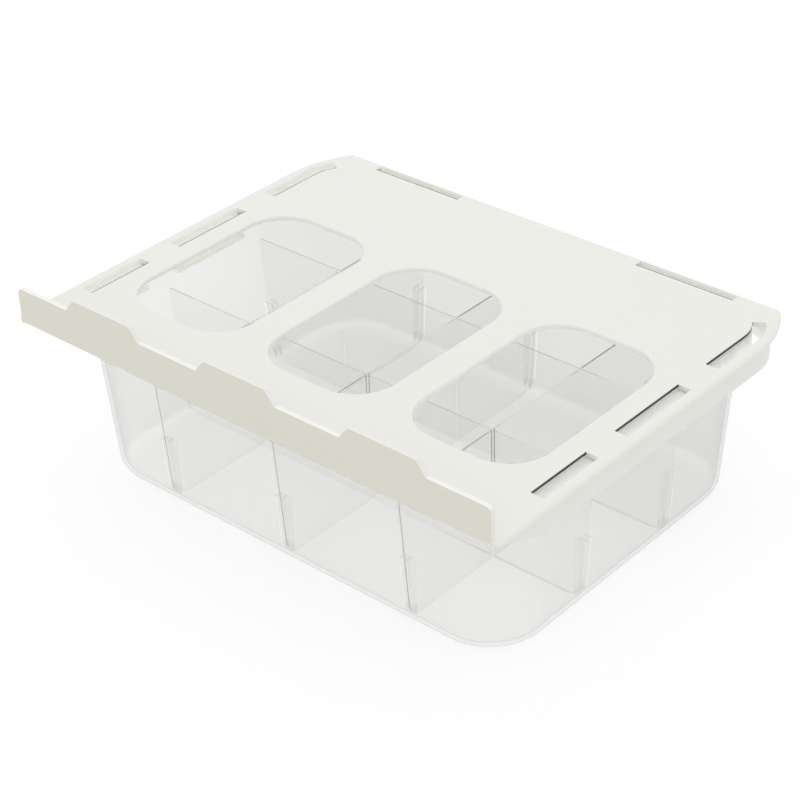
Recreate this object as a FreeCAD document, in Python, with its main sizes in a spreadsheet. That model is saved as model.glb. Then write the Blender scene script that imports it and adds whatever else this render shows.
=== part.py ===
import FreeCAD, Part
import math
import os
import Sketcher
from FreeCAD import Vector

# Under-shelf fridge drawer: a clear bin with a lift-out grid of dividers slides in the rails of a
# white carrier plate. Origin: middle of the bin's underside. +X right, -Y front, +Z up. Millimetres.

doc = FreeCAD.newDocument("fridge_drawer_organizer")
sheet = doc.addObject("Spreadsheet::Sheet", "Sizes")

SIZES = [
    # clear bin: outside sizes at the floor, and the draft of its walls in degrees
    ("floor_width", 257.0),
    ("floor_depth", 188.0),
    ("floor_corner", 30.0),
    ("bin_draft", 4.33),
    ("bin_height", 87.2),
    ("bin_wall", 1.8),
    ("bin_sole", 9.0),
    # inverted-U rim that runs on the ledges of the rails
    ("lip_overhang", 5.0),
    ("lip_wall", 1.6),
    ("lip_drop", 10.6),
    ("lip_top", 2.0),
    # guide ribs that hold the divider ends
    ("rib_width", 1.4),
    ("rib_reach", 3.2),
    ("rib_top", 36.4),
    ("rib_play", 0.25),
    # dividers: three across the bin and two along it, half-lapped
    ("divider_height", 70.4),
    ("divider_sheet", 1.6),
    ("divider_end_play", 0.9),
    ("divider_lift", 0.1),
    ("column_pitch", 75.0),
    ("row_pitch", 64.4),
    ("lap_play", 0.2),
    # room left around the rim inside the rails
    ("rim_side_play", 1.1),
    ("rim_back_play", 1.6),
    ("rim_top_play", 0.8),
    ("rim_seat_play", 0.3),
    # rails under the plate and the ledges the rim hangs on
    ("rail_wall", 1.8),
    ("rail_corner", 30.0),
    ("rail_nose_drop", 0.6),
    ("rail_nose_length", 36.0),
    ("ledge_sheet", 2.1),
    ("ledge_side_gap", 1.7),
    ("ledge_back_gap", 3.2),
    # carrier plate
    ("plate_sheet", 2.2),
    ("plate_side_lap", 3.5),
    ("plate_front_lap", 11.0),
    ("plate_taper_radius", 64.0),
    ("plate_taper_depth", 37.2),
    ("plate_back_corner", 4.0),
    ("plate_round", 1.9),
    # look-in windows: three of one width fill the plate between the side slots
    ("window_side_margin", 11.7),
    ("window_bridge", 17.5),
    ("window_front_margin", 23.45),
    ("window_length", 112.5),
    ("window_corner", 22.0),
    ("window_round", 0.8),
    # moulding slots over the ledges, stepped off from the front edge of the plate
    ("slot_width", 7.0),
    ("slot_back_width", 4.6),
    ("slot_lead", 36.4),
    ("slot_front_length", 38.0),
    ("slot_front_gap", 20.5),
    ("slot_middle_length", 47.5),
    ("slot_rear_gap", 21.5),
    ("slot_rear_turn", 35.0),
    ("slot_back_inset", 1.0),
    ("slot_back_length", 56.0),
    # front fence and its shelf clips
    ("fence_wall", 2.4),
    ("fence_height", 16.0),
    ("fence_corner", 3.0),
    ("tab_pitch", 85.0),
    ("tab_foot", 48.0),
    ("tab_top", 37.0),
    ("tab_rise", 6.8),
    ("tab_round", 1.5),
    ("bead_length", 23.0),
    ("bead_depth", 2.6),
    ("bead_height", 3.6),
    ("clip_slot_width", 6.0),
    ("clip_slot_setback", 11.3),
]


class Size:
    """A length kept both as a number and as the expression that gives it."""

    def __init__(self, value, text):
        self.value = value
        self.text = text

    def _pair(self, other):
        if isinstance(other, Size):
            return other
        return Size(float(other), repr(float(other)))

    def __add__(self, other):
        o = self._pair(other)
        return Size(self.value + o.value, "(%s + %s)" % (self.text, o.text))

    def __sub__(self, other):
        o = self._pair(other)
        return Size(self.value - o.value, "(%s - %s)" % (self.text, o.text))

    def __mul__(self, other):
        o = self._pair(other)
        return Size(self.value * o.value, "%s * %s" % (self.text, o.text))

    def __truediv__(self, other):
        o = self._pair(other)
        return Size(self.value / o.value, "(%s / %s)" % (self.text, o.text))

    def __neg__(self):
        return Size(-self.value, "(0 - %s)" % self.text)

    def cos(self):
        """Cosine of a size that is an angle in degrees."""
        return Size(math.cos(math.radians(self.value)), "cos(%s * 1 deg)" % self.text)

    def sin(self):
        """Sine of a size that is an angle in degrees."""
        return Size(math.sin(math.radians(self.value)), "sin(%s * 1 deg)" % self.text)

    def tan(self):
        """Tangent of a size that is an angle in degrees."""
        return Size(math.tan(math.radians(self.value)), "tan(%s * 1 deg)" % self.text)


S = {}
for row, (alias, value) in enumerate(SIZES, start=1):
    sheet.set("A%d" % row, alias)
    sheet.set("B%d" % row, repr(value))
    sheet.setAlias("B%d" % row, alias)
    S[alias] = Size(value, "Sizes." + alias)
ZERO = Size(0.0, "0")
doc.recompute()


def bind(obj, prop, size):
    """Set a property and tie it to the sheet."""
    obj.setExpression(prop, size.text)


def new_body(name):
    """A PartDesign body named after its piece."""
    body = doc.addObject("PartDesign::Body", name)
    body.Label = name
    doc.recompute()
    return body


def origin_item(body, role):
    """A plane or axis of the body's own origin, found by its role."""
    for item in body.Origin.OriginFeatures:
        if item.Role == role:
            return item
    raise ValueError(role)


def new_sketch(body, name, role, offset):
    """A sketch on one of the body's base planes, moved along the plane's normal."""
    sketch = body.newObject("Sketcher::SketchObject", name)
    sketch.AttachmentSupport = (origin_item(body, role), [""])
    sketch.MapMode = "FlatFace"
    bind(sketch, "AttachmentOffset.Base.z", offset)
    return sketch


def pin(sketch, kind, *args):
    """Add a dimension and tie it to its size; the last argument is the size."""
    size = args[-1]
    index = sketch.addConstraint(Sketcher.Constraint(kind, *args[:-1], size.value))
    sketch.setExpression("Constraints[%d]" % index, size.text)


def place(sketch, geo, end, x, y):
    """Pin one point of the sketch by its two coordinates."""
    pin(sketch, "DistanceX", -1, 1, geo, end, x)
    pin(sketch, "DistanceY", -1, 1, geo, end, y)


def join(sketch, kind, geo_a, end_a, geo_b, end_b):
    """Make two edges meet at their ends, either sharply or as tangents."""
    sketch.addConstraint(Sketcher.Constraint(kind, geo_a, end_a, geo_b, end_b))


def add_line(sketch, x0, y0, x1, y1):
    """A straight edge between two points given as sizes."""
    a = Vector(x0.value, y0.value, 0)
    b = Vector(x1.value, y1.value, 0)
    return sketch.addGeometry(Part.LineSegment(a, b), False)


def add_arc(sketch, cx, cy, radius, start, end):
    """An arc about a centre, counter-clockwise between two angles in degrees."""
    circle = Part.Circle(Vector(cx.value, cy.value, 0), Vector(0, 0, 1), radius.value)
    return sketch.addGeometry(Part.ArcOfCircle(circle, math.radians(start), math.radians(end)), False)


def polygon(sketch, points):
    """A closed outline with straight edges through the given corner points."""
    count = len(points)
    edges = []
    for k in range(count):
        x0, y0 = points[k]
        x1, y1 = points[(k + 1) % count]
        edges.append(add_line(sketch, x0, y0, x1, y1))
    for k in range(count):
        join(sketch, "Coincident", edges[k], 2, edges[(k + 1) % count], 1)
        place(sketch, edges[k], 1, points[k][0], points[k][1])
    return edges


def rectangle(sketch, x0, x1, y0, y1):
    """A rectangle between two x and two y sizes."""
    return polygon(sketch, [(x0, y0), (x1, y0), (x1, y1), (x0, y1)])


def round_rectangle(sketch, x0, x1, y0, y1, radius):
    """A rectangle whose four corners are tangent arcs of one radius."""
    left, right = x0 + radius, x1 - radius
    low, high = y0 + radius, y1 - radius
    base = add_line(sketch, left, y0, right, y0)
    a0 = add_arc(sketch, right, low, radius, -90, 0)
    add_line(sketch, x1, low, x1, high)
    a1 = add_arc(sketch, right, high, radius, 0, 90)
    add_line(sketch, right, y1, left, y1)
    a2 = add_arc(sketch, left, high, radius, 90, 180)
    add_line(sketch, x0, high, x0, low)
    a3 = add_arc(sketch, left, low, radius, 180, 270)
    for k in range(8):
        join(sketch, "Tangent", base + k, 2, base + (k + 1) % 8, 1)
    for k, kind in ((0, "Horizontal"), (2, "Vertical"), (4, "Horizontal"), (6, "Vertical")):
        sketch.addConstraint(Sketcher.Constraint(kind, base + k))
    for arc in (a1, a2, a3):
        sketch.addConstraint(Sketcher.Constraint("Equal", a0, arc))
    pin(sketch, "Radius", a0, radius)
    place(sketch, a1, 3, right, high)
    place(sketch, a3, 3, left, low)


def centred(sketch, width, depth, radius):
    """A rounded rectangle centred on the origin."""
    round_rectangle(sketch, -width / 2, width / 2, -depth / 2, depth / 2, radius)


def pad(body, name, sketch, length, backwards=False):
    """Material pushed out of a sketch."""
    feature = body.newObject("PartDesign::Pad", name)
    feature.Profile = sketch
    feature.Reversed = backwards
    bind(feature, "Length", length)
    return feature


def pocket(body, name, sketch, length, backwards=False):
    """Material cut away under a sketch."""
    feature = body.newObject("PartDesign::Pocket", name)
    feature.Profile = sketch
    feature.Reversed = backwards
    bind(feature, "Length", length)
    return feature


def mirror(body, name, features, role):
    """The same features again on the other side of a base plane."""
    feature = body.newObject("PartDesign::Mirrored", name)
    feature.Originals = features
    feature.MirrorPlane = (origin_item(body, role), [""])
    body.Tip = feature
    return feature


def row_of(body, name, features, role, length, count):
    """The same features repeated along an axis of the body's origin."""
    feature = body.newObject("PartDesign::LinearPattern", name)
    feature.Originals = features
    feature.Direction = (origin_item(body, role), [""])
    bind(feature, "Length", length)
    feature.Occurrences = count
    body.Tip = feature
    return feature


def edges_where(feature, test):
    """Names of the feature's edges for which the test is true."""
    names = []
    for number, edge in enumerate(feature.Shape.Edges, start=1):
        if test(edge):
            names.append("Edge%d" % number)
    return names


def fillet(body, name, feature, names, radius):
    """Round the named edges."""
    rounding = body.newObject("PartDesign::Fillet", name)
    rounding.Base = (feature, names)
    bind(rounding, "Radius", radius)
    return rounding


def same(a, b):
    """True for two lengths that differ by less than a thousandth of a millimetre."""
    return round(abs(a - b), 3) == 0


def flat_at(item, z):
    """True for an edge or face that lies in the level plane z."""
    box = item.BoundBox
    return same(box.ZMin, z) and same(box.ZMax, z)


# ---------------------------------------------------------------------------------- clear bin
bin_body = new_body("bin")
floor_plan = new_sketch(bin_body, "FloorPlan", "XY_Plane", ZERO)
centred(floor_plan, S["floor_width"], S["floor_depth"], S["floor_corner"])
tub = pad(bin_body, "Tub", floor_plan, S["bin_height"])
bind(tub, "TaperAngle", S["bin_draft"])

wall_slope = S["bin_draft"].tan()
wall = S["bin_wall"]
flare = wall_slope * S["bin_height"]
rim_width = S["floor_width"] + flare * 2
rim_depth = S["floor_depth"] + flare * 2
rim_corner = S["floor_corner"] + flare
inset = wall - wall_slope * wall
well_plan = new_sketch(bin_body, "WellPlan", "XY_Plane", wall)
centred(well_plan, S["floor_width"] - inset * 2, S["floor_depth"] - inset * 2, S["floor_corner"] - inset)
well = pocket(bin_body, "Well", well_plan, S["bin_height"], True)
bind(well, "TaperAngle", S["bin_draft"])
doc.recompute()
foot_edges = edges_where(well, lambda e: flat_at(e, wall.value))
bowl = fillet(bin_body, "Bowl", well, foot_edges, S["bin_sole"] - wall)
doc.recompute()
fillet(bin_body, "Sole", bowl, edges_where(bowl, lambda e: flat_at(e, 0)), S["bin_sole"])

# The rim is an upside-down U: a flat top and a skirt whose lower edge rides on the ledges.
lip_width = rim_width + S["lip_overhang"] * 2
lip_depth = rim_depth + S["lip_overhang"] * 2
lip_corner = rim_corner + S["lip_overhang"]
rim_flat = new_sketch(bin_body, "RimFlat", "XY_Plane", S["bin_height"])
centred(rim_flat, lip_width, lip_depth, lip_corner)
centred(rim_flat, rim_width - S["bin_wall"], rim_depth - S["bin_wall"], rim_corner - S["bin_wall"] / 2)
pad(bin_body, "RimTop", rim_flat, S["lip_top"], True)
lip_wall2 = S["lip_wall"] * 2
rim_skirt = new_sketch(bin_body, "RimSkirt", "XY_Plane", S["bin_height"])
centred(rim_skirt, lip_width, lip_depth, lip_corner)
centred(rim_skirt, lip_width - lip_wall2, lip_depth - lip_wall2, lip_corner - S["lip_wall"])
pad(bin_body, "RimLip", rim_skirt, S["lip_drop"], True)

# Pairs of ribs stand on the floor along the walls and grip the divider ends.
slit_half = S["divider_sheet"] / 2 + S["rib_play"]
rib_out = slit_half + S["rib_width"]
side_half = S["floor_width"] / 2
end_half = S["floor_depth"] / 2
eighth = Size(22.5, "22.5")


def rib_profile(sketch, half):
    """Side view of a rib: foot in the floor, back in the wall and round the sole, top sloped off."""
    buried = S["bin_wall"] / 2
    bend = S["bin_sole"] - buried
    bend_x = half + S["bin_sole"] * wall_slope - S["bin_sole"] / S["bin_draft"].cos()
    short = bend * eighth.tan()
    inner = half - S["bin_wall"] - S["rib_reach"]
    high = S["rib_top"]
    polygon(
        sketch,
        [
            (inner, buried),
            (bend_x + short, buried),
            (bend_x + bend, S["bin_sole"] - short),
            (half - buried + wall_slope * high, high),
            (inner + S["rib_reach"] / 2, high),
            (inner, high - S["rib_reach"] / 2),
        ],
    )


def rib_pair(name, role, half, station):
    """Two ribs with a slit between them at one divider station."""
    made = []
    for tag, start in (("A", station + slit_half), ("B", station - rib_out)):
        view = new_sketch(bin_body, name + tag + "View", role, start)
        rib_profile(view, half)
        made.append(pad(bin_body, name + tag, view, S["rib_width"]))
    return made


rib_rows = []
for name, station in (("RowFront", -S["row_pitch"] / 2), ("RowRear", S["row_pitch"] / 2)):
    rib_rows += rib_pair(name, "XZ_Plane", side_half, station)
mirror(bin_body, "SideRibs", rib_rows, "YZ_Plane")
rib_columns = []
for name, station in (("ColumnLeft", -S["column_pitch"]), ("ColumnMid", ZERO), ("ColumnRight", S["column_pitch"])):
    rib_columns += rib_pair(name, "YZ_Plane", end_half, station)
mirror(bin_body, "EndRibs", rib_columns, "XZ_Plane")
doc.recompute()

# ---------------------------------------------------------------------------------- dividers
lap_half = S["divider_sheet"] / 2 + S["lap_play"]
foot_level = S["bin_wall"] + S["divider_lift"]
top_level = foot_level + S["divider_height"]
lap_level = foot_level + S["divider_height"] / 2


def divider_sheet(body, role, station, half, laps, lap_low, lap_high):
    """A thin wall that follows the draft and the sole of the bin, with half-lap slots."""
    half_low = half + wall_slope * foot_level - S["bin_wall"] - S["divider_end_play"]
    half_high = half_low + wall_slope * S["divider_height"]
    view = new_sketch(body, "Sheet", role, station - S["divider_sheet"] / 2)
    polygon(
        view,
        [
            (-half_low, foot_level),
            (half_low, foot_level),
            (half_high, top_level),
            (-half_high, top_level),
        ],
    )
    blank = pad(body, "Blank", view, S["divider_sheet"])
    doc.recompute()
    feet = edges_where(blank, lambda e: foot_corner(e, half_low.value))
    fillet(body, "Feet", blank, feet, S["bin_sole"])
    cut = new_sketch(body, "Laps", role, station - S["divider_sheet"])
    for where in laps:
        rectangle(cut, where - lap_half, where + lap_half, lap_low, lap_high)
    pocket(body, "LapSlots", cut, S["divider_sheet"] * 2, True)
    doc.recompute()


def foot_corner(edge, half_low):
    """True for one of the two short edges at the ends of a divider's foot."""
    middle = edge.BoundBox.Center
    reach = max(abs(middle.x), abs(middle.y))
    short = same(edge.Length, S["divider_sheet"].value)
    return short and flat_at(edge, foot_level.value) and same(reach, half_low)


row_laps = (-S["row_pitch"] / 2, S["row_pitch"] / 2)
column_laps = (-S["column_pitch"], ZERO, S["column_pitch"])
cross_stations = (
    ("divider_cross_left", -S["column_pitch"]),
    ("divider_cross_middle", ZERO),
    ("divider_cross_right", S["column_pitch"]),
)
for name, station in cross_stations:
    body = new_body(name)
    divider_sheet(
        body,
        "YZ_Plane",
        station,
        end_half,
        row_laps,
        lap_level - S["lap_play"],
        top_level + S["divider_sheet"],
    )
for name, station in (("divider_long_front", S["row_pitch"] / 2), ("divider_long_rear", -S["row_pitch"] / 2)):
    body = new_body(name)
    divider_sheet(
        body,
        "XZ_Plane",
        station,
        side_half,
        column_laps,
        foot_level - S["divider_sheet"],
        lap_level + S["lap_play"],
    )

# ------------------------------------------------------------------------------ carrier plate
plate = new_body("carrier_plate")
plate_under = S["bin_height"] + S["rim_top_play"]
plate_top = plate_under + S["plate_sheet"]
rail_in = lip_width / 2 + S["rim_side_play"]
rail_half = rail_in + S["rail_wall"]
rail_back_in = lip_depth / 2 + S["rim_back_play"]
back = rail_back_in + S["rail_wall"]
half = rail_half + S["plate_side_lap"]
plate_front = lip_depth / 2 + S["plate_front_lap"]
front = -plate_front
big = S["plate_taper_radius"]
small = S["plate_back_corner"]
taper_y = back - S["plate_taper_depth"]

# The front corners round off past the ends of the rails. The small back corners' centres are only
# started near their places: the tangents settle them.
outline = new_sketch(plate, "PlateOutline", "XY_Plane", plate_under)
lap = S["plate_side_lap"]
turn = math.asin((back.value - small.value - taper_y.value) / (big.value - small.value))
knee_x = half.value - big.value + (big.value - small.value) * math.cos(turn)
turn_deg = math.degrees(turn)
knee = Size(knee_x, "0")
corner_y = back - small
add_line(outline, -rail_half, front, rail_half, front)
add_arc(outline, rail_half, front + lap, lap, -90, 0)
add_line(outline, half, front + lap, half, taper_y)
add_arc(outline, half - big, taper_y, big, 0, turn_deg)
add_arc(outline, knee, corner_y, small, turn_deg, 90)
add_line(outline, knee, back, -knee, back)
add_arc(outline, -knee, corner_y, small, 90, 180 - turn_deg)
add_arc(outline, big - half, taper_y, big, 180 - turn_deg, 180)
add_line(outline, -half, taper_y, -half, front + lap)
add_arc(outline, -rail_half, front + lap, lap, 180, 270)
for k in range(10):
    join(outline, "Tangent", k, 2, (k + 1) % 10, 1)
for k, kind in ((2, "Vertical"), (5, "Horizontal"), (8, "Vertical")):
    outline.addConstraint(Sketcher.Constraint(kind, k))
for a, b in ((1, 9), (3, 7), (4, 6)):
    outline.addConstraint(Sketcher.Constraint("Equal", a, b))
pin(outline, "Radius", 3, big)
pin(outline, "Radius", 4, small)
pin(outline, "Radius", 1, lap)
place(outline, 1, 3, rail_half, front + lap)
place(outline, 9, 3, -rail_half, front + lap)
pin(outline, "DistanceY", -1, 1, 5, 1, back)
pin(outline, "DistanceY", -1, 1, 3, 3, taper_y)
pin(outline, "DistanceY", -1, 1, 7, 3, taper_y)
slab = pad(plate, "Sheet", outline, S["plate_sheet"])
doc.recompute()
rims = edges_where(slab, lambda e: flat_at(e, plate_top.value))
fillet(plate, "SheetRound", slab, rims, S["plate_round"])

# Rail wall: one U that hangs under both sides and the back.
ledge_top = S["bin_height"] - S["lip_drop"] - S["rim_seat_play"]
ledge_under = ledge_top - S["ledge_sheet"]
rail_round = S["rail_corner"]
rail_round_in = rail_round - S["rail_wall"]
hub_x = rail_half - rail_round
hub_y = back - rail_round
rail = new_sketch(plate, "RailPlan", "XY_Plane", plate_under)
add_line(rail, rail_half, front, rail_half, hub_y)
add_arc(rail, hub_x, hub_y, rail_round, 0, 90)
add_line(rail, hub_x, back, -hub_x, back)
add_arc(rail, -hub_x, hub_y, rail_round, 90, 180)
add_line(rail, -rail_half, hub_y, -rail_half, front)
add_line(rail, -rail_half, front, -rail_in, front)
add_line(rail, -rail_in, front, -rail_in, hub_y)
add_arc(rail, -hub_x, hub_y, rail_round_in, 90, 180)
add_line(rail, -hub_x, rail_back_in, hub_x, rail_back_in)
add_arc(rail, hub_x, hub_y, rail_round_in, 0, 90)
add_line(rail, rail_in, hub_y, rail_in, front)
add_line(rail, rail_in, front, rail_half, front)
for k in range(4):
    join(rail, "Tangent", k, 2, k + 1, 1)
join(rail, "Coincident", 4, 2, 5, 1)
join(rail, "Coincident", 5, 2, 6, 1)
join(rail, "Tangent", 6, 2, 7, 2)
join(rail, "Tangent", 7, 1, 8, 1)
join(rail, "Tangent", 8, 2, 9, 2)
join(rail, "Tangent", 9, 1, 10, 1)
join(rail, "Coincident", 10, 2, 11, 1)
join(rail, "Coincident", 11, 2, 0, 1)
for k in (0, 4, 6, 10):
    rail.addConstraint(Sketcher.Constraint("Vertical", k))
for k in (2, 8, 5, 11):
    rail.addConstraint(Sketcher.Constraint("Horizontal", k))
place(rail, 1, 3, hub_x, hub_y)
place(rail, 3, 3, -hub_x, hub_y)
place(rail, 7, 3, -hub_x, hub_y)
place(rail, 9, 3, hub_x, hub_y)
pin(rail, "Radius", 1, rail_round)
pin(rail, "Radius", 9, rail_round_in)
pin(rail, "DistanceY", -1, 1, 0, 1, front)
pin(rail, "DistanceY", -1, 1, 4, 2, front)
pad(plate, "RailWall", rail, plate_under - ledge_under, True)

# The lower edge of each rail sweeps up to the front, and meets it under the end of the fence.
nose_z = plate_under - S["rail_nose_drop"]
nose_rise = nose_z - ledge_under
nose_back = front + S["rail_nose_length"]
nose_radius = (S["rail_nose_length"] * S["rail_nose_length"] + nose_rise * nose_rise) / (nose_rise * 2)
clear_y = front - S["rail_wall"]
clear_z = ledge_under - S["rail_wall"]
nose = new_sketch(plate, "NoseView", "YZ_Plane", rail_in - S["rail_wall"])
nose_turn = math.degrees(math.asin(S["rail_nose_length"].value / nose_radius.value))
add_line(nose, nose_back, ledge_under, nose_back, clear_z)
add_line(nose, nose_back, clear_z, clear_y, clear_z)
add_line(nose, clear_y, clear_z, clear_y, nose_z)
add_line(nose, clear_y, nose_z, front, nose_z)
add_arc(nose, nose_back, ledge_under + nose_radius, nose_radius, 270 - nose_turn, 270)
for k in range(3):
    join(nose, "Coincident", k, 2, k + 1, 1)
join(nose, "Coincident", 3, 2, 4, 1)
join(nose, "Coincident", 4, 2, 0, 1)
place(nose, 0, 1, nose_back, ledge_under)
place(nose, 1, 1, nose_back, clear_z)
place(nose, 2, 1, clear_y, clear_z)
place(nose, 3, 1, clear_y, nose_z)
place(nose, 3, 2, front, nose_z)
pin(nose, "Radius", 4, nose_radius)
nose_cut = pocket(plate, "Nose", nose, S["rail_wall"] * 3, True)
mirror(plate, "Noses", [nose_cut], "YZ_Plane")
front_from = front + S["slot_lead"]
front_to = front_from + S["slot_front_length"]
middle_from = front_to + S["slot_front_gap"]
middle_to = middle_from + S["slot_middle_length"]
rear_from = middle_to + S["slot_rear_gap"]
back_to = hub_x - S["slot_back_inset"]
back_from = back_to - S["slot_back_length"]


def corner_band(sketch, inner, outer, start):
    """A stretch that runs back along the rail and into the corner bend."""
    r_in = inner - hub_x
    r_out = outer - hub_x
    c = S["slot_rear_turn"].cos()
    s = S["slot_rear_turn"].sin()
    turn_to = S["slot_rear_turn"].value
    first = add_line(sketch, inner, start, outer, start)
    add_line(sketch, outer, start, outer, hub_y)
    add_arc(sketch, hub_x, hub_y, r_out, 0, turn_to)
    add_line(sketch, hub_x + r_out * c, hub_y + r_out * s, hub_x + r_in * c, hub_y + r_in * s)
    add_arc(sketch, hub_x, hub_y, r_in, 0, turn_to)
    add_line(sketch, inner, hub_y, inner, start)
    for k in range(3):
        join(sketch, "Coincident", first + k, 2, first + k + 1, 1)
    join(sketch, "Coincident", first + 3, 2, first + 4, 2)
    join(sketch, "Coincident", first + 4, 1, first + 5, 1)
    join(sketch, "Coincident", first + 5, 2, first, 1)
    place(sketch, first, 1, inner, start)
    place(sketch, first, 2, outer, start)
    place(sketch, first + 2, 3, hub_x, hub_y)
    place(sketch, first + 4, 3, hub_x, hub_y)
    place(sketch, first + 1, 2, outer, hub_y)
    place(sketch, first + 5, 1, inner, hub_y)
    pin(sketch, "DistanceY", -1, 1, first + 3, 1, hub_y + r_out * s)
    pin(sketch, "DistanceY", -1, 1, first + 3, 2, hub_y + r_in * s)


def rail_bands(sketch, side_inner, side_outer, back_inner, back_outer):
    """The four stretches on the right half, used for the ledges and for the slots over them."""
    rectangle(sketch, side_inner, side_outer, front_from, front_to)
    rectangle(sketch, side_inner, side_outer, middle_from, middle_to)
    corner_band(sketch, side_inner, side_outer, rear_from)
    rectangle(sketch, back_from, back_to, back_inner, back_outer)


# Each ledge is moulded through its own slot in the plate above it, and stops short of the bin wall.
half_wall = S["rail_wall"] / 2
ledge_flare = wall_slope * ledge_top
ledge_plan = new_sketch(plate, "LedgePlan", "XY_Plane", ledge_under)
rail_bands(
    ledge_plan,
    side_half + ledge_flare + S["ledge_side_gap"],
    rail_in + half_wall,
    end_half + ledge_flare + S["ledge_back_gap"],
    rail_back_in + half_wall,
)
ledges = pad(plate, "Ledges", ledge_plan, S["ledge_sheet"])
mirror(plate, "LedgesBoth", [ledges], "YZ_Plane")
slot_plan = new_sketch(plate, "SlotPlan", "XY_Plane", plate_under)
rail_bands(
    slot_plan,
    rail_in - S["slot_width"],
    rail_in,
    rail_back_in - S["slot_back_width"],
    rail_back_in,
)
slots = pocket(plate, "Slots", slot_plan, S["plate_sheet"], True)
mirror(plate, "SlotsBoth", [slots], "YZ_Plane")

# Three look-in windows between the side slots and behind the clip slots.
fence_back = plate_front - S["fence_wall"]
clip_front = S["clip_slot_setback"] - fence_back
clip_back = clip_front + S["clip_slot_width"]
window_reach = rail_in - S["slot_width"] - S["window_side_margin"]
window_width = (window_reach - S["window_bridge"]) * 2 / 3
window_pitch = window_width + S["window_bridge"]
window_low = clip_back + S["window_front_margin"]
window_plan = new_sketch(plate, "WindowPlan", "XY_Plane", plate_under)
round_rectangle(
    window_plan,
    -window_reach,
    window_width - window_reach,
    window_low,
    window_low + S["window_length"],
    S["window_corner"],
)
window = pocket(plate, "Window", window_plan, S["plate_sheet"], True)
windows = row_of(plate, "Windows", [window], "X_Axis", window_pitch * 2, 3)
doc.recompute()


def window_edge(edge):
    """True for an edge of a window in the top face of the plate."""
    if not flat_at(edge, plate_top.value):
        return False
    box = edge.BoundBox
    high = window_low.value + S["window_length"].value
    inside = box.Center.y > window_low.value - 1 and box.Center.y < high + 1
    return inside and abs(box.Center.x) < window_reach.value + 1


fillet(plate, "WindowRound", windows, edges_where(windows, window_edge), S["window_round"])

# Fence along the front edge, with three taller clip tabs that snap behind the shelf's front.
fence_top = plate_top + S["fence_height"]
tab_crest = fence_top + S["tab_rise"]
tab_x = -S["tab_pitch"]
fence_view = new_sketch(plate, "FenceView", "XZ_Plane", fence_back)
rectangle(fence_view, -rail_half, rail_half, plate_under, fence_top)
pad(plate, "Fence", fence_view, S["fence_wall"])
tab_view = new_sketch(plate, "TabView", "XZ_Plane", fence_back)
foot_half = S["tab_foot"] / 2
crest_half = S["tab_top"] / 2
tab_root = fence_top - S["fence_wall"]
polygon(
    tab_view,
    [
        (tab_x - foot_half, tab_root),
        (tab_x + foot_half, tab_root),
        (tab_x + foot_half, fence_top),
        (tab_x + crest_half, tab_crest),
        (tab_x - crest_half, tab_crest),
        (tab_x - foot_half, fence_top),
    ],
)
tab = pad(plate, "Tab", tab_view, S["fence_wall"])
bead_view = new_sketch(plate, "BeadView", "YZ_Plane", tab_x - S["bead_length"] / 2)
bead_root = -fence_back - S["fence_wall"] / 2
polygon(
    bead_view,
    [
        (bead_root, tab_crest),
        (bead_root, tab_crest - S["bead_height"] - S["bead_depth"]),
        (-fence_back, tab_crest - S["bead_height"] - S["bead_depth"]),
        (-fence_back + S["bead_depth"], tab_crest - S["bead_height"]),
        (-fence_back + S["bead_depth"], tab_crest - S["bead_height"] / 2),
        (-fence_back, tab_crest),
    ],
)
bead = pad(plate, "Bead", bead_view, S["bead_length"])
clip_plan = new_sketch(plate, "ClipSlotPlan", "XY_Plane", plate_under)
bead_half = S["bead_length"] / 2
rectangle(clip_plan, tab_x - bead_half, tab_x + bead_half, clip_front, clip_back)
clip = pocket(plate, "ClipSlot", clip_plan, S["plate_sheet"], True)
clips = row_of(plate, "Clips", [tab, bead, clip], "X_Axis", S["tab_pitch"] * 2, 3)
doc.recompute()


def crest_corner(edge):
    """True for one of the short edges at the two ends of a tab's crest."""
    if not flat_at(edge, tab_crest.value) or not same(edge.BoundBox.XLength, 0):
        return False
    middle = edge.BoundBox.Center.x
    near = min(abs(middle - k * S["tab_pitch"].value) for k in (-1, 0, 1))
    return same(near, crest_half.value)


rounded = fillet(plate, "TabCorners", clips, edges_where(clips, crest_corner), S["tab_round"])
doc.recompute()


def fence_corner(edge):
    """True for one of the short edges at the two upper ends of the fence."""
    level = flat_at(edge, fence_top.value) and same(edge.BoundBox.XLength, 0)
    return level and same(abs(edge.BoundBox.Center.x), rail_half.value)


fillet(plate, "FenceCorners", rounded, edges_where(rounded, fence_corner), S["fence_corner"])
doc.recompute()

# ------------------------------------------------------------------------------------ checks
NODES = [
    "carrier_plate",
    "bin",
    "divider_cross_left",
    "divider_cross_middle",
    "divider_cross_right",
    "divider_long_front",
    "divider_long_rear",
]
for obj in doc.Objects:
    if "Invalid" in obj.State or "Error" in obj.State:
        raise RuntimeError("%s is in state %s" % (obj.Name, obj.State))
os.makedirs("parts", exist_ok=True)
for node in NODES:
    shape = doc.getObject(node).Shape
    if shape.isNull() or not shape.isValid() or len(shape.Solids) != 1:
        raise RuntimeError("%s has no single valid solid" % node)
    shape.exportStep("parts/%s.step" % node)
    box = shape.BoundBox
    print(node, round(shape.Volume), [round(v, 2) for v in (box.XMin, box.XMax, box.YMin, box.YMax, box.ZMin, box.ZMax)])
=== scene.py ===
import math
import bpy
from mathutils import Matrix, Vector

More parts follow.
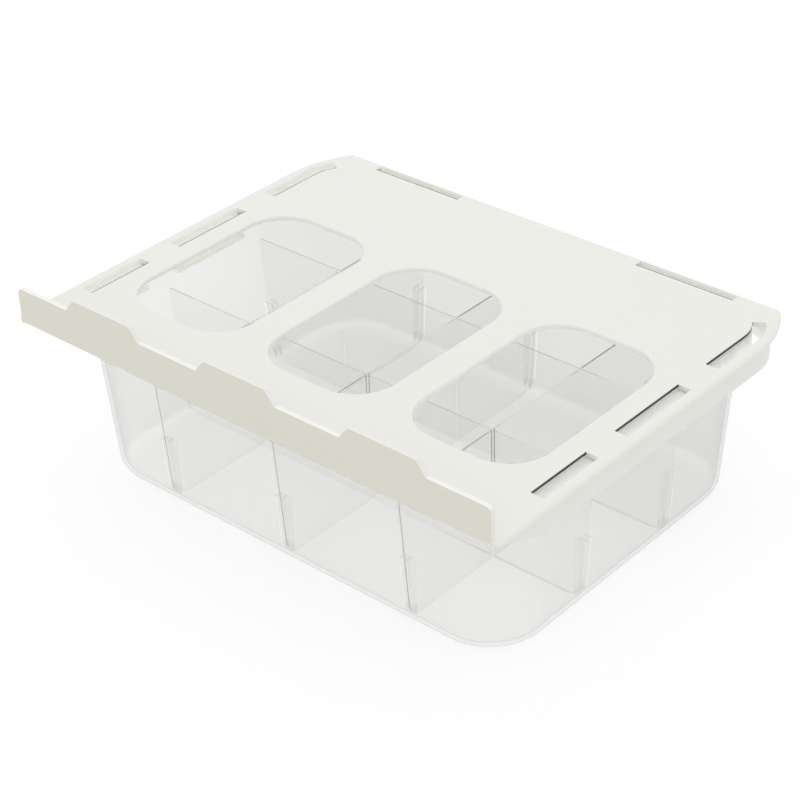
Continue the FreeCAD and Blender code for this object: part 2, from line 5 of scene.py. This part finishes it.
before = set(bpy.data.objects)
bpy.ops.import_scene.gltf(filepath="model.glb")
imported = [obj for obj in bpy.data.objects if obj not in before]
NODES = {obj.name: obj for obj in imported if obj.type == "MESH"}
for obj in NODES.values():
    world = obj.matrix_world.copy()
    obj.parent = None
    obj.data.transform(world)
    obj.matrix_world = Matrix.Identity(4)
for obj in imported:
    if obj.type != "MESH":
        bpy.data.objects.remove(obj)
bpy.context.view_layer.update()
scene = bpy.context.scene


# ---- Carrier plate -------------------------------------------------------------------------
# One warm-white injection moulding: plate, fence with clips, rails and ledges. The mould is
# fine-blasted, so the skin has a satin grain, and the fence's front face is painted a darker cream
# as painted shade.
class Wire:
    """A shader socket: arithmetic on it adds Math nodes."""

    def __init__(self, finish, socket):
        self.finish = finish
        self.socket = socket

    def math(self, operation, first, second):
        return self.finish.node("ShaderNodeMath", {"operation": operation}, {0: first, 1: second})

    def __add__(self, other):
        return self.math("ADD", self, other)

    __radd__ = __add__

    def __mul__(self, other):
        return self.math("MULTIPLY", self, other)

    __rmul__ = __mul__

    def __sub__(self, other):
        return self.math("SUBTRACT", self, other)

    def __rsub__(self, other):
        return self.math("SUBTRACT", other, self)

    def __pow__(self, other):
        return self.math("POWER", self, other)

    def __gt__(self, other):
        return self.math("GREATER_THAN", self, other)

    def __lt__(self, other):
        return self.math("LESS_THAN", self, other)

    def __abs__(self):
        return self.math("ABSOLUTE", self, 0.0)

    def __or__(self, other):
        return self.math("MAXIMUM", self, other)

    def __and__(self, other):
        return self.math("MINIMUM", self, other)


class Finish:
    """A material or a world that is being built up node by node."""

    def __init__(self, owner):
        owner.use_nodes = True
        self.owner = owner
        self.tree = owner.node_tree
        self.tree.nodes.clear()

    def node(self, kind, settings, sockets, output=0):
        """Adds one node: its settings first, then the values or wires of its sockets."""
        made = self.tree.nodes.new(kind)
        for key, value in settings.items():
            setattr(made, key, value)
        for key, value in sockets.items():
            if isinstance(value, Wire):
                self.tree.links.new(value.socket, made.inputs[key])
            else:
                made.inputs[key].default_value = value
        return Wire(self, made.outputs[output]) if made.outputs else None

    def place(self):
        """Object coordinates of the surface, in metres."""
        return self.node("ShaderNodeTexCoord", {}, {}, "Object")

    def parts(self, vector):
        """The x, y and z of a vector."""
        split = self.node("ShaderNodeSeparateXYZ", {}, {0: vector})
        return [Wire(self, socket) for socket in split.socket.node.outputs]

    def turned(self):
        """The x, y and z of the way the surface faces."""
        return self.parts(self.node("ShaderNodeNewGeometry", {}, {}, "True Normal"))

    def ramp(self, value, low, high):
        """0 below low, 1 above high, and a straight run between them."""
        return self.node("ShaderNodeMapRange", {}, {0: value, 1: low, 2: high})

    def noise(self, place, scale, detail=2.0):
        """Soft noise from 0 to 1."""
        values = {"Vector": place, "Scale": scale, "Detail": detail}
        return self.node("ShaderNodeTexNoise", {}, values, "Fac")

    def blend(self, mask, first, second):
        """Mixes two colours by a mask."""
        return self.node("ShaderNodeMix", {"data_type": "RGBA"}, {0: mask, 6: first, 7: second}, 2)

    def bump(self, height, depth):
        """A normal pushed by a height from 0 to 1 that stands for depth in metres."""
        values = {"Strength": 1.0, "Distance": depth, "Height": height}
        return self.node("ShaderNodeBump", {}, values)

    def mix(self, mask, first, second):
        """Mixes two shaders by a mask."""
        return self.node("ShaderNodeMixShader", {}, {0: mask, 1: first, 2: second})

    def ray(self, kind):
        """1 for rays of one kind, 0 for the others."""
        return self.node("ShaderNodeLightPath", {}, {}, kind)

    def show(self, surface):
        """Makes a shader the surface and returns the material or the world."""
        world = isinstance(self.owner, bpy.types.World)
        kind = "ShaderNodeOutputWorld" if world else "ShaderNodeOutputMaterial"
        self.node(kind, {}, {0: surface})
        return self.owner


# Places in metres. A pair is the middle of a stretch and half its length.
HUB_X, HUB_Y = 0.113, 0.079  # slots, rails and the bin's rim bend round this spot
SLOT_INNER, RAIL_INNER = 0.0212, 0.0282  # distances past the hub
BACK_SLOT_INNER, CLIP_SLIT_REAR = 0.1026, -0.0969
SIDE_SLOTS = (-0.0612, 0.0190), (0.0020, 0.0238), (0.0692, 0.0220)
BACK_SLOT = 0.084, 0.028
WINDOW_ROW = -0.0172, 0.0570
WINDOWS_END = 0.1230
FENCE_FRONT, FENCE_REAR, BEHIND_FENCE = -0.11655, -0.1141, -0.110
PLATE_SHEET = 0.0891, 0.0011
TOP_FACE, SLOT_FACE_FOOT, UNDER_PLATE, LEDGE_TOP = 0.0899, 0.0886, 0.0879, 0.0785
SHADE_LINE = 0.0867, 0.0004
HAIRLINE = 0.00025
BLACK, SHADE = (0, 0, 0, 1), (0.05, 0.05, 0.05, 1)


def past_hub(x, y):
    """The distance outside the hub, sideways, backwards or round a rear corner."""
    past_x = (abs(x) - HUB_X) | 0.0
    past_y = (y - HUB_Y) | 0.0
    return (past_x * past_x + past_y * past_y) ** 0.5


def near(value, target, reach):
    """1 where a value is within reach of a target."""
    return abs(value - target) < reach


carrier = Finish(bpy.data.materials.new("carrier_white"))
spot = carrier.place()
across_x, along_y, up_z = carrier.parts(spot)
facing_x, facing_y, facing_z = carrier.turned()
from_hub = past_hub(across_x, along_y)
drift = carrier.noise(spot, 18.0, 3.0)
grain = carrier.noise(spot, 2600.0)
ripple = carrier.noise(spot, 60.0, 1.0)
white = carrier.blend(drift, (0.872, 0.866, 0.824, 1), (0.892, 0.886, 0.844, 1))

# Painted highlight: the low top edge of the fence, between its taller tabs, is coloured lighter.
ridge_highlight = (facing_z > 0.7) & (along_y < FENCE_REAR) & (up_z > 0.1) & (up_z < 0.1068)
white = carrier.blend(ridge_highlight, white, (0.96, 0.955, 0.935, 1))
# Painted shade: the fence's front face, turned from the light, is coloured a darker cream.
white = carrier.blend(along_y < FENCE_FRONT, white, (0.800, 0.785, 0.690, 1))

# Of the faces cut through the plate, the windows' edges are painted lighter, as painted light that
# lifts their shade.
cut_face = (abs(facing_z) < 0.5) & near(up_z, *PLATE_SHEET)
window_edge_light = cut_face & (abs(across_x) < WINDOWS_END) & near(along_y, *WINDOW_ROW)
white = carrier.blend(window_edge_light, white, (0.97, 0.965, 0.93, 1))

# Painted shade: the slots' inner faces are coloured dark, and so is a thin line along the lip of
# the left and back ones.
middle_part = abs(across_x) < HUB_X
cross_slot = near(along_y, BACK_SLOT_INNER, HAIRLINE) | near(along_y, CLIP_SLIT_REAR, HAIRLINE)
slot_face = near(from_hub, SLOT_INNER, HAIRLINE) | (cross_slot & middle_part)
slot_face = slot_face & cut_face & (up_z > SLOT_FACE_FOOT) & (along_y > BEHIND_FENCE)
front, middle, rear = [near(along_y, *slot) for slot in SIDE_SLOTS]
side_lip = (front | middle | rear) & near(from_hub, SLOT_INNER - 0.0002, 0.0002)
back_lip = near(along_y, BACK_SLOT_INNER - 0.0002, 0.0002) & near(abs(across_x), *BACK_SLOT)
lip = (side_lip & (across_x < 0.0)) | back_lip
lip = lip & (facing_z > 0.5) & (up_z > TOP_FACE)

# Painted light under the plate: the rail walls and ledges are coloured lighter for light that
# bounces between white walls, and a line of painted shade runs along the back.
rail_face = near(from_hub, RAIL_INNER, 0.0005)
rail_wall = rail_face & (up_z < UNDER_PLATE)
ledge = (up_z < LEDGE_TOP) & (from_hub < RAIL_INNER + 0.0001)
white = carrier.blend(rail_wall | ledge, white, (0.985, 0.98, 0.95, 1))
shade_line = rail_wall & near(up_z, *SHADE_LINE) & middle_part
white = carrier.blend(0.7 * shade_line, white, SHADE)

# Painted light: the rails' inner walls, their inward cut faces and the ledges glow a little,
# lifting their shade.
inward = (facing_x * across_x < 0.0) | (facing_y < -0.5)
lit_cut = cut_face & rail_face & inward & (along_y > BEHIND_FENCE)
painted_glow = 0.7 * ((rail_wall & (shade_line < 0.5)) | lit_cut) | ledge
carrier_skin = carrier.node(
    "ShaderNodeBsdfPrincipled",
    {},
    {
        # Painted shade on the slots' inner faces and lip lines.
        "Base Color": carrier.blend(slot_face | lip, white, SHADE),
        "Roughness": 0.42 + 0.10 * drift,
        "IOR": 1.49,
        # Painted glow on the rails' inner walls, cut faces and ledges.
        "Emission Color": carrier.blend(painted_glow, BLACK, (0.28, 0.28, 0.265, 1)),
        "Emission Strength": 1.0,
        "Normal": carrier.bump(0.35 * grain + 0.65 * ripple, 0.00005),
    },
)
NODES["carrier_plate"].material_slots[0].material = carrier.show(carrier_skin)


# ---- Bin -----------------------------------------------------------------------------------
# A clear tapered tub, moulded in one with its upside-down-U rim and the guide ribs. The plastic
# is a little milky, and a wall seen at a slant is looked through over a longer way, so its haze
# thickens there; it is also painted darker there, as painted shade.
def clear_skin(finish, veil, slanted, edge, edge_veil, painted_light=0.0):
    """A clear sheet. Its haze runs from veil, face on, to slanted, edge on, and edge on it is
    painted darker as painted shade. The last argument whitens it as painted light, and edge marks
    narrow faces that get painted shade, with edge_veil for haze."""
    slant = finish.node("ShaderNodeLayerWeight", {}, {"Blend": 0.5}, "Facing") ** 4.0
    milk = finish.blend(painted_light, (0.85, 0.855, 0.825, 1), (0.98, 0.975, 0.95, 1))
    skin = finish.node(
        "ShaderNodeBsdfPrincipled",
        {},
        {
            "Base Color": finish.blend(0.6 * slant | edge, milk, (0.30, 0.305, 0.29, 1)),
            "Roughness": 0.16,
            "IOR": 1.49,
            "Alpha": (veil + (slanted - veil) * slant) | (edge_veil * edge),
        },
    )
    shade = finish.node("ShaderNodeBsdfTransparent", {}, {"Color": (0.95, 0.95, 0.95, 1)})
    return finish.mix(finish.ray("Is Shadow Ray"), skin, shade)


DRAFT = 0.0757  # how far a wall leans outwards for each metre of height
SIDE_RIBS_FROM, END_RIBS_FROM = 0.12655, 0.09205  # the walls' inner faces, at floor level
SIDE_RIBS_REACH, END_RIBS_REACH = 0.040, 0.080
RIBS_FOOT, RIBS_TOP, FLOOR_TOP, RIM_SHOULDER = 0.009, 0.0368, 0.004, 0.087
RIM_LINE = 0.0241, 0.0004

tub = Finish(bpy.data.materials.new("clear_bin"))
tub_x, tub_y, tub_z = tub.parts(tub.place())
tub_facing_up = tub.turned()[2]
# Painted light and shade on the rim: its top is whitened and made less clear, and a thin dark line
# is painted along it on the left.
rim_top = (tub_facing_up > 0.9) & (tub_z > RIM_SHOULDER)
rim_shade_line = rim_top & near(past_hub(tub_x, tub_y), *RIM_LINE) & (tub_x < 0.0)

# The guide ribs stand on the walls, in pairs, up to a third of the height.
side_rib = (abs(tub_x) - DRAFT * tub_z < SIDE_RIBS_FROM) & (abs(tub_y) < SIDE_RIBS_REACH)
end_rib = (abs(tub_y) - DRAFT * tub_z < END_RIBS_FROM) & (abs(tub_x) < END_RIBS_REACH)
rib = (side_rib | end_rib) & (tub_z > RIBS_FOOT) & (tub_z < RIBS_TOP)
# Painted shade: the ribs' tops are coloured dark, like the edges of a clear sheet.
rib_top = rib & (tub_facing_up > 0.5)

# The haze grows towards the back. It is thinner in the floor, and thinnest in the ribs.
tub_veil = (0.19 + 0.45 * tub_y - 0.10 * (tub_z < FLOOR_TOP)) * (1.0 - 0.7 * rib)
tub_veil = tub_veil | (0.80 * rim_top)
# Painted shade on the rib tops and along the rim line.
tub_edge_shade = (0.25 * rib_top) | (0.45 * rim_shade_line)
tub_surface = clear_skin(tub, tub_veil, 0.55 - 0.50 * rib, tub_edge_shade, 0.9, 0.7 * rim_top)
NODES["bin"].material_slots[0].material = tub.show(tub_surface)


# ---- Dividers ------------------------------------------------------------------------------
# Five thin clear sheets. Light leaves a clear sheet at its edges, so from the side they look
# dark, and that dark is painted shade in their colour: most along the tops and the front ends,
# and little at the feet. The painted shade takes half of an edge's thickness, so it stays a thin
# line.
GRIDS = (
    (0, 0.0751, ("divider_cross_left", "divider_cross_middle", "divider_cross_right")),
    (1, 0.0323, ("divider_long_front", "divider_long_rear")),
)
for broad, outer_place, sheets in GRIDS:
    pane = Finish(bpy.data.materials.new("clear_divider_%s" % "xy"[broad]))
    pane_place = pane.parts(pane.place())
    pane_facing = pane.turned()
    aside = abs(pane_place[broad])
    dark_half = (aside > outer_place) | ((pane_place[broad] > 0.0001) & (aside < 0.010))
    level_face = abs(pane_facing[2]) > 0.5
    head = level_face & (pane_place[2] > 0.06) & dark_half
    foot = level_face & (pane_place[2] < 0.02)
    end = (abs(pane_facing[1 - broad]) > 0.5) & dark_half
    if broad == 0:
        head = head * (0.35 + 0.65 * pane.ramp(abs(pane_place[1]), 0.024, 0.036))
        end = end * (0.12 + 0.78 * (pane_place[1] < 0.0))
        edge_shade = head | (0.15 * foot) | end
    else:
        head = head * (0.1 + 0.9 * pane.ramp(pane_place[0], 0.095, 0.085))
        foot = foot * pane.ramp(pane_place[0], 0.030, 0.070)
        edge_shade = (0.6 * head) | (0.4 * foot) | (0.12 * end)
    pane_skin = pane.show(clear_skin(pane, 0.06, 0.5, edge_shade, 0.85))
    for name in sheets:
        NODES[name].material_slots[0].material = pane_skin


# ---- Floor and room ------------------------------------------------------------------------
# A plain white table in an evenly lit white room, with one wide soft lamp overhead.
FAR, BELOW = 6.0, -0.0004
corners = (-FAR, -FAR, BELOW), (FAR, -FAR, BELOW), (FAR, FAR, BELOW), (-FAR, FAR, BELOW)
floor_mesh = bpy.data.meshes.new("floor")
floor_mesh.from_pydata(corners, [], [(0, 1, 2, 3)])
floor = bpy.data.objects.new("floor", floor_mesh)
scene.collection.objects.link(floor)
table = Finish(bpy.data.materials.new("table_white"))
seen = table.ray("Is Camera Ray") | table.ray("Is Glossy Ray")
paint = table.node("ShaderNodeBsdfDiffuse", {}, {"Color": (0.86, 0.86, 0.86, 1)})
shine = table.node("ShaderNodeEmission", {}, {"Color": (1, 1, 1, 1), "Strength": 1.13})
floor_mesh.materials.append(table.show(table.mix(0.65 * seen, paint, shine)))

room = Finish(bpy.data.worlds.new("room"))
light = room.node("ShaderNodeBackground", {}, {"Color": (0.90, 0.90, 0.90, 1)})
wall = room.node("ShaderNodeBackground", {}, {"Color": (1, 1, 1, 1)})
looked_at = room.ray("Is Camera Ray") | room.ray("Is Glossy Ray")
scene.world = room.show(room.mix(looked_at, light, wall))

lamp_data = bpy.data.lights.new("lamp_top", "AREA")
lamp_data.size = 1.6
lamp_data.energy = 1.5
lamp = bpy.data.objects.new("lamp_top", lamp_data)
scene.collection.objects.link(lamp)
lamp.location = (-0.25, 0.15, 1.5)
lamp.rotation_mode = "QUATERNION"
lamp.rotation_quaternion = (Vector((0, 0, 0.05)) - lamp.location).to_track_quat("-Z", "Y")


# ---- Camera --------------------------------------------------------------------------------
# A long lens, held a little askew, looks down on the plate from the front right.
EYE = 0.5834, -0.6558, 0.6055
FRAME_WIDTH = 36.0
LENS_TO_FRAME = 2161.0 / 800.0
yaw, pitch, roll = math.radians(42.08), math.radians(32.71), math.radians(-2.09)
ahead = math.cos(pitch)
forward = Vector((-math.sin(yaw) * ahead, math.cos(yaw) * ahead, -math.sin(pitch)))
level = Vector((math.cos(yaw), math.sin(yaw), 0))
above = level.cross(forward)
across = math.cos(roll) * level + math.sin(roll) * above
upward = -math.sin(roll) * level + math.cos(roll) * above
camera_data = bpy.data.cameras.new("camera")
camera_data.sensor_width = FRAME_WIDTH
camera_data.lens = LENS_TO_FRAME * FRAME_WIDTH
camera = bpy.data.objects.new("camera", camera_data)
scene.collection.objects.link(camera)
turn = Matrix((across, upward, -forward)).transposed()
camera.matrix_world = Matrix.Translation(EYE) @ turn.to_4x4()
scene.camera = camera
scene.view_settings.view_transform = "Standard"
scene.cycles.max_bounces = 12
scene.cycles.transparent_max_bounces = 64
